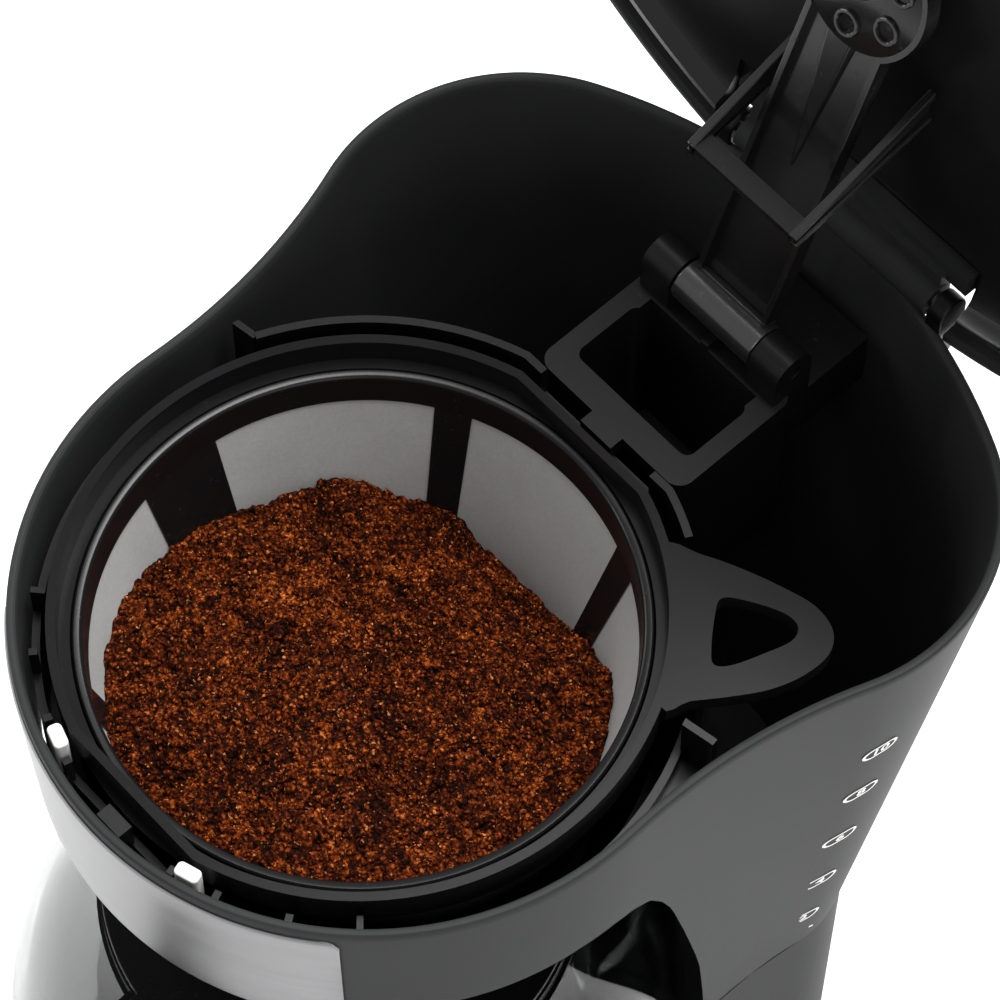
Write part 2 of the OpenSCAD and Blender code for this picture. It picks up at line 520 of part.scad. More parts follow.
// Slice of the cone's wall, t thick each way, running on past both ends by e
function cone_band(t, e) = [[mesh_foot_r - t - e * mesh_slope, mesh_foot - e],
    [mesh_foot_r + t - e * mesh_slope, mesh_foot - e],
    [mesh_r + t + e * mesh_slope, mesh_top + e], [mesh_r - t + e * mesh_slope, mesh_top + e]];
module filter_mesh() color("#8d8f90") place() {
    for (k = [0 : 5]) let (a = ribs[k], b = k < 5 ? ribs[k + 1] : ribs[0] + [360, 0])
        sector(a[0] + a[1] + 0.1, b[0] - b[1] - 0.1) polygon(cone_band(0.2, -0.7));
    translate([0, 0, mesh_foot - 1]) cylinder(r = 29.9, h = 0.6, $fn = 96);
}
// Ground coffee: it fills the filter and heaps up towards the front right
heap_r = 140;
heap_c = [18.7, -42];
heap_top = ring_z - 9.8;
module coffee_grounds() color("#4c2410") place() intersection() {
    union() {
        translate([0, 0, mesh_foot + 0.3]) cylinder(r1 = mesh_foot_r - 1.2, r2 = mesh_r - 1.2, h = mesh_top - mesh_foot, $fn = 96);
        translate([0, 0, mesh_top - 1]) cylinder(r = mesh_r - 1.3, h = 8, $fn = 96);
    }
    translate([heap_c[0], heap_c[1], heap_top - heap_r])
        rotate_extrude($fn = 96) polygon(concat([[0, 20]], arc([0, 0], heap_r, 36, 90, 16)));
}

// ---- jug ----

// Half profile of the glass, outside: height above the plate and radius
function jug_outer() = [[58, 0.2], [63, 1.4], [68.5, 6], [74.5, 16], [80.5, 29], [83.8, 42], [belly_r, 52],
    [83.6, 63], [80.6, 76], [75.6, 88], [69, 99], [62, 108], [57, 115], [collar_r - 2.8, 120], [collar_r - 2.4, 127]];
function jug_inner() = [for (i = [len(jug_outer()) - 1 : -1 : 0]) let (p = jug_outer()[i])
    [p[0] - glass_t, i == 0 ? p[1] + 3 : (i == 1 ? p[1] + 2.4 : p[1] + (i < 4 ? 1 : 0))]];
module at_jug() place() about_jug() translate([0, 0, plate_h + 0.1]) children();
module jug_glass() color("#cfd6d8", 0.4) at_jug() rotate_extrude($fn = 96)
    polygon(concat([[0, 0.2]], jug_outer(), jug_inner(), [[0, 3.2]]));
module jug_collar() color("#1a1b1c") at_jug() {
    difference() {
        union() {
            translate([0, 0, 116.5]) cylinder(r = collar_r, h = 12.5, $fn = 96);
            translate([0, 0, 122]) cylinder(r = collar_r + 1, h = 2, $fn = 96);
            translate([-11, -collar_r - 9, 117]) cube([22, 14, 11]);
        }
        translate([0, 0, 100]) cylinder(r = collar_r - 2.3, h = 40, $fn = 96);
        jug_neck_room();
        for (x = [-6, 6]) translate([x, -40, 122.5]) rotate([90, 0, 0]) cylinder(r = 1.55, h = 40);
    }
}
module jug_neck_room() rotate_extrude($fn = 96) polygon([[0, 108], [62.2, 108], [57.2, 115.1], [collar_r - 2.6, 120], [0, 120]]);
// D-shaped handle at the front
module jug_handle() color("#1c1d1f") at_jug() difference() {
    across(-9, 9) difference() {
        polygon([for (p = handle_outer) p]);
        polygon([for (p = handle_inner) p]);
    }
    rotate_extrude($fn = 96) polygon(concat([[0, -5]], [for (p = jug_outer()) [p[0] + 0.25, p[1]]], [[0, 140]]));
    for (x = [-6, 6]) translate([x, -40, 122.5]) rotate([90, 0, 0]) cylinder(r = 1.55, h = 40);
}
handle_outer = [[-66.1, 127.5], [-84, 127.5], [-100, 125], [-112, 119], [-119, 109], [-121, 96], [-119, 78],
    [-113, 58], [-104, 42], [-96, 34], [-86, 30], [-70, 30], [-70, 62], [-66.1, 117]];
handle_inner = [[-84, 116], [-96, 114.5], [-104, 110], [-108, 102], [-109, 92], [-107, 76], [-101, 60], [-94, 49],
    [-88, 46], [-88.5, 62], [-83, 84], [-76, 102]];
module handle_screws() color("#b0b1b3") at_jug() for (x = [-6, 6]) translate([x, -57.2, 122.5]) rotate([90, 0, 0]) {
    cylinder(r = 1.5, h = 20);
}
module jug_lid() color("#161718") at_jug() difference() {
    union() {
        translate([0, 0, 127.15]) cylinder(r = collar_r - 2.6, h = 4.2, $fn = 96);
        translate([0, 0, 129.1]) cylinder(r = collar_r - 0.5, h = 2.4, $fn = 96);
        translate([0, 0, 119]) tube(collar_r - 5.8, 2, 9);
        translate([-8, -collar_r - 7, 129.1]) cube([16, 12, 2.4]);
    }
    translate([0, jug_offset, 128.9]) difference() {
        cylinder(r1 = 14, r2 = 26, h = 6);
        cylinder(r = 5, h = 6);
    }
    for (a = [0 : 60 : 300]) translate([9.6 * cos(a), jug_offset + 9.6 * sin(a), 110]) cylinder(r = 2, h = 30);
}

body_shell();
niche_wall();
brew_chamber();
bridge_column();
tank_floor();
front_panel();
base_housing();
base_plate();
feet();
hot_plate();
plate_seal();
heating_element();
thermostat();
thermal_fuses();
cold_hose();
check_valve();
hot_hose();
riser_tube();
switch_bezel();
pilot_lens();
cord_inlet();
base_screws();
lid_buffers();
lid_cover();
lid_liner();
lid_stirrup();
lid_pin();
spray_arm();
spray_plate();
arm_pin();
brew_basket();
valve_seat();
drip_valve();
valve_spring();
filter_frame();
filter_mesh();
coffee_grounds();
jug_glass();
jug_collar();
jug_handle();
handle_screws();
jug_lid();
power_rocker();
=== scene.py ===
import bmesh
import bpy
import math
import numpy as np
from mathutils import Matrix, Vector


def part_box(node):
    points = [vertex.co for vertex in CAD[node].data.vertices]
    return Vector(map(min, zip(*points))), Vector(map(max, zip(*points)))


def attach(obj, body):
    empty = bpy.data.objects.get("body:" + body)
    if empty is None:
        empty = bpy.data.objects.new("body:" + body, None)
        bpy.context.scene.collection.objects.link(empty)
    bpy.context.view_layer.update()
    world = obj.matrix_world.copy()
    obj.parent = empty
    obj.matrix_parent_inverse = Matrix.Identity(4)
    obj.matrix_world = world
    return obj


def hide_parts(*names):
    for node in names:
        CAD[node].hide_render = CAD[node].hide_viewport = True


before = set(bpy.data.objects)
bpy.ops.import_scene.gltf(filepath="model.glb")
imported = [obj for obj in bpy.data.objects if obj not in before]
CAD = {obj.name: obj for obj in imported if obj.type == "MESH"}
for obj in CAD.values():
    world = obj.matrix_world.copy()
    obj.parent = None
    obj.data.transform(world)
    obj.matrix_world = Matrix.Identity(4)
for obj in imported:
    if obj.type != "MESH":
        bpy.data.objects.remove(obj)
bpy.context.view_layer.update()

MM = 0.001                              # metres in a millimetre
HEAD_ROUND = 0.078                      # metres around the head's front for each radian
MESH_ROUND = 0.056                      # the same around the filter's mesh, half way down
WIRE_PITCH, MESH_SLANT = 0.00042, 0.7   # metres between the mesh's wires, and how steeply they run


# ---------------------------------------------------------------- shader maths

class Val:
    """A shader value. Arithmetic on it adds Math nodes."""

    def __init__(self, tree, socket):
        self.tree = tree
        self.socket = socket

    def math(self, operation, *inputs):
        node = self.tree.nodes.new("ShaderNodeMath")
        node.operation = operation
        for place, value in enumerate(inputs):
            plug(self.tree, node.inputs[place], value)
        return Val(self.tree, node.outputs[0])

    def __add__(self, other):
        return self.math("ADD", self, other)

    def __sub__(self, other):
        return self.math("SUBTRACT", self, other)

    def __mul__(self, other):
        return self.math("MULTIPLY", self, other)

    def __rsub__(self, other):
        return self.math("SUBTRACT", other, self)

    __radd__ = __add__
    __rmul__ = __mul__

    def angle(self, x):
        """The angle of the point (x, self) about the origin."""
        return self.math("ARCTAN2", self, x)

    def sine(self):
        return self.math("SINE", self)

    def step(self, low, high):
        """0 below low, 1 above high, smooth between."""
        node = self.tree.nodes.new("ShaderNodeMapRange")
        node.interpolation_type = "SMOOTHSTEP"
        plug(self.tree, node.inputs["Value"], self)
        node.inputs["From Min"].default_value = low
        node.inputs["From Max"].default_value = high
        return Val(self.tree, node.outputs[0])


def plug(tree, socket, value):
    if isinstance(value, Val):
        tree.links.new(value.socket, socket)
    elif isinstance(value, (tuple, list)) and socket.type == "RGBA" and len(value) == 3:
        socket.default_value = (*value, 1)
    else:
        socket.default_value = value


class Finish:
    """One material: nodes are added by type, settings and socket values."""

    def __init__(self, name):
        self.mat = bpy.data.materials.new(name)
        self.mat.use_nodes = True
        self.tree = self.mat.node_tree
        self.tree.nodes.clear()
        self.out = self.tree.nodes.new("ShaderNodeOutputMaterial")
        self.shader = self.tree.nodes.new("ShaderNodeBsdfPrincipled")
        self.tree.links.new(self.shader.outputs[0], self.out.inputs["Surface"])
        self.place = self.node("ShaderNodeTexCoord", out="Object")

    def node(self, kind, settings=None, values=None, out=0):
        node = self.tree.nodes.new(kind)
        for key, value in (settings or {}).items():
            if key == "stops":
                ramp = node.color_ramp.elements
                while len(ramp) < len(value):
                    ramp.new(0.5)
                for stop, (where, colour) in zip(ramp, value):
                    stop.position = where
                    stop.color = (*colour, 1)
            else:
                setattr(node, key, value)
        for key, value in (values or {}).items():
            plug(self.tree, node.inputs[key], value)
        return Val(self.tree, node.outputs[out])

    def noise(self, per_mm, detail=2.0, rough=0.5, vector=None):
        return self.node("ShaderNodeTexNoise", None, {"Vector": vector or self.place,
            "Scale": per_mm * 1000, "Detail": detail, "Roughness": rough})

    def cells(self, per_mm, out="Color"):
        return self.node("ShaderNodeTexVoronoi", None, {"Vector": self.place, "Scale": per_mm * 1000}, out)

    def split(self, vector=None):
        node = self.tree.nodes.new("ShaderNodeSeparateXYZ")
        plug(self.tree, node.inputs[0], vector or self.place)
        return [Val(self.tree, node.outputs[k]) for k in range(3)]

    def join(self, x, y, z):
        return self.node("ShaderNodeCombineXYZ", None, {0: x, 1: y, 2: z})

    def mix(self, amount, a, b, how="MIX"):
        return self.node("ShaderNodeMix", {"data_type": "RGBA", "blend_type": how},
            {0: amount, 6: a, 7: b}, out=2)

    def ramp(self, amount, *stops):
        return self.node("ShaderNodeValToRGB", {"stops": stops}, {0: amount})

    def bump(self, height, depth_mm, strength=1.0):
        return self.node("ShaderNodeBump", None,
            {"Height": height, "Distance": depth_mm * MM, "Strength": strength})

    def set(self, **values):
        names = {"colour": "Base Color", "rough": "Roughness", "metal": "Metallic", "coat": "Coat Weight",
            "coat_rough": "Coat Roughness", "normal": "Normal", "ior": "IOR", "clear": "Transmission Weight",
            "gloss": "Specular IOR Level", "aniso": "Anisotropic"}
        for key, value in values.items():
            plug(self.tree, self.shader.inputs[names[key]], value)
        return self.mat


def moulded(name, colour, rough, grain=0.012, pitch=2.2, gloss=0.5, dust=0.0, coat=0.0):
    """Injection-moulded plastic: fine grain, slow flow marks, faint dust specks."""
    f = Finish(name)
    flow = f.noise(0.018, 3)
    grit = f.noise(pitch, 3, 0.6)
    specks = f.noise(0.9, 2).step(0.68, 0.74)
    tint = f.mix(flow.step(0.3, 0.7), [c * 0.88 for c in colour], [c * 1.12 for c in colour])
    tint = f.mix(specks * dust, tint, (0.28, 0.28, 0.27))
    return f.set(colour=tint, rough=flow * 0.08 + grit * 0.06 + (rough - 0.07),
        normal=f.bump(grit, grain, 0.6), gloss=gloss, coat=coat, coat_rough=0.12)


def polished(name, colour, rough, gloss=0.5, coat=0.3):
    """Glossy black moulding with faint waviness and fine hairline scuffs."""
    f = Finish(name)
    wave = f.noise(0.05, 2)
    fine = f.noise(1.4, 4, 0.65)
    scuff = f.noise(0.35, 5, 0.7).step(0.55, 0.75)
    tint = f.mix(wave.step(0.35, 0.65), [c * 0.85 for c in colour], [c * 1.2 for c in colour])
    return f.set(colour=tint, rough=scuff * 0.12 + fine * 0.04 + rough, gloss=gloss, coat=coat,
        coat_rough=0.08, normal=f.bump(wave * 3 + fine * 0.4, 0.02, 0.5))


def brushed(name, colour, rough, along, stretch=60.0):
    """Metal brushed along one way. along(f) gives (distance along, distance across) in metres."""
    f = Finish(name)
    run, across = along(f)
    lines = f.noise(0.001, 4, 0.75, vector=f.join(run * stretch, across * 2600.0, 0.0))
    broad = f.noise(0.001, 2, 0.6, vector=f.join(run * stretch * 0.3, across * 380.0, 4.0))
    tone = lines * 0.6 + broad * 0.4
    tint = f.mix(tone.step(0.3, 0.7), [c * 0.82 for c in colour], [c * 1.1 for c in colour])
    return f.set(colour=tint, metal=1.0, rough=tone * 0.24 + (rough - 0.12), aniso=0.6,
        normal=f.bump(lines, 0.006, 0.7))


def around_head(f):
    """Distances around and down the head's round front, in metres."""
    x, y, z = f.split()
    return (y - (SHIFT_Y + HEAD_Y) * MM).angle(x) * HEAD_ROUND, z


def along_x(f):
    """Distances across and along a pin, in metres."""
    x, y, z = f.split()
    return z + y, x


def soft(name, colour, rough, cloudy=0.1):
    """Rubber or silicone: matt, a little cloudy, softly pitted."""
    f = Finish(name)
    cloud = f.noise(0.12, 3)
    pits = f.noise(2.6, 2)
    tint = f.mix(cloud, [c * (1 - cloudy) for c in colour], [c * (1 + cloudy) for c in colour])
    return f.set(colour=tint, rough=pits * 0.1 + rough, normal=f.bump(pits, 0.015, 0.6), gloss=0.35)


def coffee(name, painted_light):
    """Ground coffee: small grains whose gaps are darkened as painted shade, so their middles read lighter, in
    lighter and darker patches.
    """
    f = Finish(name)
    r, g, b = f.split(f.cells(1.05))
    s, t, u = f.split(f.cells(1.9))
    gaps = f.cells(1.05, out="Distance").step(0.25, 0.75)
    patch = f.noise(0.07, 3)
    clump = f.noise(0.26, 3, 0.6)
    fine = f.noise(1.6, 4, 0.7)
    # the gaps term darkens each grain's edges: painted shade between the grains
    tone = r * 0.34 + s * 0.26 + fine * 0.5 + (clump - 0.5) * 0.7 + (patch - 0.5) * 0.4 - gaps * 0.16
    tint = f.ramp(tone, (0.28, (0.004, 0.0006, 0.0001)), (0.46, (0.026, 0.0036, 0.0004)),
        (0.60, (0.085, 0.0130, 0.0014)), (0.74, (0.18, 0.036, 0.0045)), (0.95, (0.40, 0.12, 0.025)))
    tint = f.mix(t.step(0.9, 0.96) * g.step(0.55, 0.75) * 0.7, tint, (0.44, 0.15, 0.04))
    # this factor lifts the whole tint: a copy painted lighter, as if more lit than the heap
    lit = f.mix(1.0, tint, (painted_light, painted_light, painted_light), "MULTIPLY")
    return f.set(colour=lit, rough=u * 0.15 + 0.65, gloss=0.05,
        normal=f.bump(fine + s * 0.5 - gaps * 0.8, 0.45, 1.0))


def woven(name):
    """Fine steel mesh, woven on the slant, seen as soft grey cloth."""
    f = Finish(name)
    x, y, z = f.split()
    around = (y - SHIFT_Y * MM).angle(x) * MESH_ROUND
    down = z * MESH_SLANT
    waves = 2 * math.pi / WIRE_PITCH
    weave = ((around + down) * waves).sine() * ((around - down) * waves).sine()
    cloud = f.noise(0.06, 3)
    fleck = f.noise(1.1, 3, 0.7)
    tone = weave * 0.10 + cloud * 0.25 + fleck * 0.3 + 0.2
    tint = f.ramp(tone, (0.1, (0.18, 0.18, 0.177)), (0.5, (0.345, 0.345, 0.34)), (0.9, (0.50, 0.50, 0.49)))
    return f.set(colour=tint, metal=0.15, rough=fleck * 0.15 + 0.5, normal=f.bump(weave, 0.04, 0.5), gloss=0.4)


def clear_glass(name):
    """Blown glass with a slow waviness and faint smears."""
    f = Finish(name)
    wave = f.noise(0.02, 2)
    smear = f.noise(0.05, 4, 0.6).step(0.55, 0.8)
    # the grey tint is painted shade: it stands in for the dark surroundings seen through the glass
    return f.set(colour=(0.40, 0.41, 0.41), rough=smear * 0.05 + 0.01, clear=1.0, ior=1.46,
        normal=f.bump(wave, 0.15, 0.4))


def tinted_lens(name):
    """Red plastic that lets the lamp's light through."""
    f = Finish(name)
    glow = f.noise(0.4, 2)
    return f.set(colour=f.mix(glow, (0.5, 0.03, 0.02), (0.65, 0.06, 0.03)), rough=glow * 0.08 + 0.12,
        clear=0.5, coat=0.5, coat_rough=0.05)


def printed(name):
    """White print, a little uneven."""
    f = Finish(name)
    ink = f.noise(2.5, 3)
    return f.set(colour=f.mix(ink, (0.78, 0.78, 0.76), (0.9, 0.9, 0.88)), rough=ink * 0.1 + 0.45,
        normal=f.bump(ink, 0.01, 0.5))


# ---------------------------------------------------------------- measures, in millimetres about the brew axis

plate_low, plate_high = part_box("hot_plate")
JUG_OFFSET = 11.5
SHIFT_Y = (plate_low.y + plate_high.y) * 500 + JUG_OFFSET
RING_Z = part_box("brew_basket")[1].z * 1000
RIM_Z = RING_Z + 1.3
SEAM_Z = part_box("body_shell")[0].z * 1000
TABLE_TO_PLATE = plate_high.z * 1000
HEAD_R, HEAD_Y, HEAD_DRAFT = 78.1, 2.8, 6.0
LOBE_C, LOBE_R, TAPER = (41.5, 84.0), 49.0, 22.5
WAIST_R, BACK_R, WALL = 150.0, 140.0, 2.4
FULL_DRAFT = 195.0                      # depth below the rim at which the draft and taper are measured
DEPTH = RIM_Z - SEAM_Z
LID_AXIS = (142.0, RING_Z + 5)
ARM_AXIS = (107.0, RING_Z + 2)
LID_OPEN = 90.0
ARM_OPEN = 110.0
ARM_LEN = 99.0
HEAD_END = ARM_AXIS[0] - ARM_LEN


def here(x, y, z):
    """Millimetres about the brew axis to metres in the part's frame."""
    return Vector((x, y + SHIFT_Y, z)) * MM


def arc(c, r, a0, a1, n):
    angles = [math.radians(a0 + (a1 - a0) * i / n) for i in range(n + 1)]
    return [(c[0] + r * math.cos(a), c[1] + r * math.sin(a)) for a in angles]


def apex(a, ra, b, rb):
    d = math.dist(a, b)
    ux, uy = (b[0] - a[0]) / d, (b[1] - a[1]) / d
    s = (ra * ra - rb * rb + d * d) / (2 * d)
    h = math.sqrt(ra * ra - s * s)
    return (a[0] + ux * s + uy * h, a[1] + uy * s - ux * h)


def bearing(a, b):
    return math.degrees(math.atan2(b[1] - a[1], b[0] - a[0]))


def outline(r1, c1, r2, c2, steps=(34, 14, 30, 14)):
    """Head arc, hollow waist, rear corner and slow rear curve, and their mirror."""
    c3 = apex(c1, r1 + WAIST_R, c2, r2 + WAIST_R)
    a1, a2 = bearing(c1, c3), bearing(c2, c3)
    c4 = (0, c2[1] - math.sqrt((BACK_R - r2) ** 2 - c2[0] ** 2))
    half = arc(c1, r1, -90, a1, steps[0])
    half += arc(c3, WAIST_R, a1 + 180, a2 + 180, steps[1])[1:]
    half += arc(c2, r2, a2, bearing(c4, c2), steps[2])[1:]
    half += arc(c4, BACK_R, bearing(c4, c2), 90, steps[3])[1:]
    return half + [(-x, y) for x, y in half[-2:0:-1]]


def housing(depth, inward):
    """The tank's outline at a depth below the rim, moved in from the outside."""
    return outline(HEAD_R - HEAD_DRAFT * depth / FULL_DRAFT - inward, (0, HEAD_Y),
        LOBE_R - TAPER * depth / FULL_DRAFT - inward, LOBE_C)


# ---------------------------------------------------------------- mesh making

def piece(name, points, faces, body, material, slot, crease=35, turn=None):
    """A piece of the model from points in mm, riding on its body."""
    mesh = bpy.data.meshes.new(name)
    mesh.from_pydata([here(*p) for p in points], [], faces)
    if turn:
        mesh.transform(turn)
    mesh.validate()
    mesh.update()
    obj = bpy.data.objects.new(name, mesh)
    bpy.context.scene.collection.objects.link(obj)
    obj.data.materials.append(material)
    smooth(obj, crease)
    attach(obj, body)
    return obj


def smooth(obj, crease):
    """Smooth shading that breaks where faces meet more sharply than the crease."""
    mesh = obj.data
    mesh.polygons.foreach_set("use_smooth", [True] * len(mesh.polygons))
    mesh.set_sharp_from_angle(angle=math.radians(crease))


def soften(obj, width, segments=2, angle=38):
    """Rounds the sharp edges by this many mm and keeps the flat faces flat."""
    bevel = obj.modifiers.new("soft edge", "BEVEL")
    bevel.width = width * MM
    bevel.segments = segments
    bevel.limit_method = "ANGLE"
    bevel.angle_limit = math.radians(angle)
    bevel.use_clamp_overlap = True
    even = obj.modifiers.new("even shading", "WEIGHTED_NORMAL")
    even.weight = 100
    even.keep_sharp = True


def loft(rings, closed_ring=True, wrap=False, caps=False):
    """Rings of equal length joined into a skin: (points, faces)."""
    n, m = len(rings[0]), len(rings)
    points = [p for ring in rings for p in ring]
    faces = []
    for k in range(m if wrap else m - 1):
        for i in range(n if closed_ring else n - 1):
            a, b, j = k * n, ((k + 1) % m) * n, (i + 1) % n
            faces.append((a + i, a + j, b + j, b + i))
    if caps:
        faces.append(tuple(range(n - 1, -1, -1)))
        faces.append(tuple((m - 1) * n + i for i in range(n)))
    return points, faces


def lathe(profile, centre=(0, 0), segments=128, start=0.0, sweep=360.0, wrap=False):
    """A profile of (radius, height) turned about a vertical axis."""
    full = sweep >= 360
    count = segments if full else segments + 1
    rings = []
    for r, z in profile:
        angles = [math.radians(start + sweep * i / segments) for i in range(count)]
        rings.append([(centre[0] + r * math.cos(a), centre[1] + r * math.sin(a), z) for a in angles])
    return loft(rings, closed_ring=full, wrap=wrap)


def plate(shape, z0, z1):
    """A flat outline made solid between two heights."""
    n = len(shape)
    points = [(x, y, z0) for x, y in shape] + [(x, y, z1) for x, y in shape]
    faces = [(i, (i + 1) % n, n + (i + 1) % n, n + i) for i in range(n)]
    return points, faces + [tuple(range(n - 1, -1, -1)), tuple(range(n, 2 * n))]


def slab(x0, x1, y0, y1, z0, z1):
    return plate([(x0, y0), (x1, y0), (x1, y1), (x0, y1)], z0, z1)


def side_on(shape, x0, x1):
    """An outline in the y-z plane made solid between two x values."""
    n = len(shape)
    points = [(x0, y, z) for y, z in shape] + [(x1, y, z) for y, z in shape]
    faces = [(i, (i + 1) % n, n + (i + 1) % n, n + i) for i in range(n)]
    return points, faces + [tuple(range(n - 1, -1, -1)), tuple(range(n, 2 * n))]


def rod(y, z, r, x0, x1, segments=40, hole=0.0):
    """A round bar along X, with a bore if asked for."""
    angles = [2 * math.pi * i / segments for i in range(segments)]
    shell = [(x, [(y + q * math.cos(a), z + q * math.sin(a)) for a in angles])
        for x, q in ((x0, r), (x1, r))]
    if hole:
        shell += [(x, [(y + hole * math.cos(a), z + hole * math.sin(a)) for a in angles]) for x in (x1, x0)]
    rings = [[(x, p, q) for p, q in ring] for x, ring in shell]
    return loft(rings, wrap=bool(hole), caps=not hole)


def together(*parts):
    """Several shapes as one: (points, faces)."""
    points, faces = [], []
    for some, more in parts:
        base = len(points)
        points += some
        faces += [tuple(base + i for i in f) for f in more]
    return points, faces


def swing(axis, degrees):
    """The turn that stands a part open about an axis along X."""
    centre = here(0, *axis)
    turn = Matrix.Rotation(math.radians(-degrees), 4, "X")
    return Matrix.Translation(centre) @ turn @ Matrix.Translation(-centre)


def carve(obj, tool_points, tool_faces):
    """Cuts a closed shape out of a piece, for good."""
    mesh = bpy.data.meshes.new("cutter")
    mesh.from_pydata([here(*p) for p in tool_points], [], tool_faces)
    tool = bpy.data.objects.new("cutter", mesh)
    bpy.context.scene.collection.objects.link(tool)
    cut = obj.modifiers.new("cut", "BOOLEAN")
    cut.operation = "DIFFERENCE"
    cut.solver = "EXACT"
    cut.object = tool
    bpy.context.view_layer.update()
    settled = bpy.data.meshes.new_from_object(obj.evaluated_get(bpy.context.evaluated_depsgraph_get()))
    obj.modifiers.clear()
    obj.data = settled
    bpy.data.objects.remove(tool)
    bpy.data.meshes.remove(mesh)


def fix_normals(obj):
    """Turns every face outwards."""
    bm = bmesh.new()
    bm.from_mesh(obj.data)
    bmesh.ops.remove_doubles(bm, verts=bm.verts, dist=1e-7)
    bmesh.ops.recalc_face_normals(bm, faces=bm.faces)
    bm.to_mesh(obj.data)
    bm.free()


# ---------------------------------------------------------------- finishes

charcoal = moulded("charcoal_satin_plastic", (0.023, 0.0235, 0.024), 0.48, gloss=0.05, dust=0.02)
inner_black = moulded("black_satin_plastic", (0.0040, 0.0040, 0.0044), 0.34, grain=0.006, gloss=0.16, dust=0.03)
deep_black = moulded("black_moulding", (0.005, 0.005, 0.0055), 0.25, grain=0.005, gloss=0.2, dust=0.03)
gloss_black = polished("gloss_black_plastic", (0.006, 0.006, 0.0065), 0.17, gloss=0.35, coat=0.15)
hinge_black = polished("hinge_black_plastic", (0.012, 0.012, 0.013), 0.2, gloss=0.9, coat=0.4)
ring_black = moulded("basket_black_plastic", (0.006, 0.006, 0.0065), 0.22, grain=0.003, gloss=0.09, dust=0.02)
lid_black = polished("lid_black_plastic", (0.007, 0.007, 0.0075), 0.28, gloss=0.45, coat=0.05)
steel_band = brushed("brushed_steel_band", (0.195, 0.195, 0.20), 0.34, around_head)
turned_steel = brushed("turned_steel", (0.30, 0.30, 0.31), 0.30, along_x, 300.0)
mesh_cloth = woven("fine_steel_mesh")
heap_brown = coffee("ground_coffee", 1.0)
# the crumbs take the heap's finish painted 1.35 times lighter: painted light on the loose grains
crumb_brown = coffee("coffee_crumbs", 1.35)
glass = clear_glass("clear_glass")
white_pad = soft("white_silicone", (0.74, 0.74, 0.72), 0.5, 0.04)
milky_hose = soft("milky_silicone", (0.55, 0.55, 0.52), 0.4, 0.08)
dull_rubber = soft("dull_rubber", (0.02, 0.02, 0.02), 0.7, 0.2)
white_ink = printed("white_print")
lens_red = tinted_lens("red_lens")
cream_sleeve = soft("cream_sleeve", (0.6, 0.55, 0.42), 0.8, 0.15)
cast_alloy = moulded("cast_alloy", (0.42, 0.42, 0.43), 0.5, grain=0.08, pitch=1.1)
plate_coat = moulded("plate_coating", (0.02, 0.02, 0.021), 0.33, grain=0.02, pitch=1.6, dust=0.05)
natural_plastic = soft("natural_plastic", (0.62, 0.62, 0.58), 0.4, 0.05)


# ---------------------------------------------------------------- tank and head housing

rows = [(FULL_DRAFT, 0), (150, 0), (100, 0), (60, 0), (30, 0), (10, 0), (3, 0), (1.3, 0.03), (0.55, 0.22),
    (0.12, 0.62), (0, 1.1), (0.1, 1.65), (0.5, 2.12), (1.2, 2.36), (3, WALL), (10, WALL), (40, WALL),
    (90, WALL), (140, WALL), (FULL_DRAFT, WALL)]
rings = [[(x, y, RIM_Z - d * DEPTH / FULL_DRAFT) for x, y in housing(d, o)] for d, o in rows]
tank_shell = piece("tank_shell", *loft(rings, wrap=True), "housing", charcoal, "body_shell")
fix_normals(tank_shell)
niche = [(0, SEAM_Z - 60), (89.5, SEAM_Z - 60), (89.5, RING_Z - 200), (87, RING_Z - 140),
    (84.4, RING_Z - 104), (83.2, RING_Z - 86), (82.2, RING_Z - 70), (81.3, RING_Z - 60), (80.3, RING_Z - 51),
    (79.2, RING_Z - 45.6), (78.2, RING_Z - 43.2), (76.4, RING_Z - 42), (0, RING_Z - 42)]
carve(tank_shell, *lathe(niche, (0, -JUG_OFFSET), 144))
smooth(tank_shell, 28)
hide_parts("body_shell")

ears = []
for side in (-1, 1):
    x0, x1 = side * 33.2 - 2.2, side * 33.2 + 2.2
    y, z = LID_AXIS
    cheek = [(y - 4.3 * math.cos(t), z + 4.3 * math.sin(t)) for t in np.linspace(math.pi, 0, 17)]
    root = [(y - 4.2, z - 10), (y - 3.2, z - 16), (y + 1, z - 16), (y + 4.3, z - 8)]
    ears.append(side_on(cheek + root, x0, x1))
hinge_ears = piece("hinge_ears", *together(*ears), "housing", inner_black, "body_shell")
fix_normals(hinge_ears)
soften(hinge_ears, 0.5)

# brushed band around the head's front
BAND_HALF, BAND_STEPS, BAND_CORNER = 43.4, 88, 3.0


def band_row(z_top, z_low, share, inward):
    """One row of the band, a share of the way down it; its corners are rounded."""
    points = []
    for k in range(BAND_STEPS + 1):
        turn = 2 * BAND_HALF * k / BAND_STEPS
        side = math.radians(min(turn, 2 * BAND_HALF - turn)) * HEAD_R
        drop = BAND_CORNER - math.sqrt(BAND_CORNER ** 2 - max(0.0, BAND_CORNER - side) ** 2)
        z = z_top - drop + (z_low - z_top + 2 * drop) * share
        r = HEAD_R - HEAD_DRAFT * (RIM_Z - z) / FULL_DRAFT - inward
        a = math.radians(turn - 90 - BAND_HALF)
        points.append((r * math.cos(a), HEAD_Y + r * math.sin(a), z))
    return points


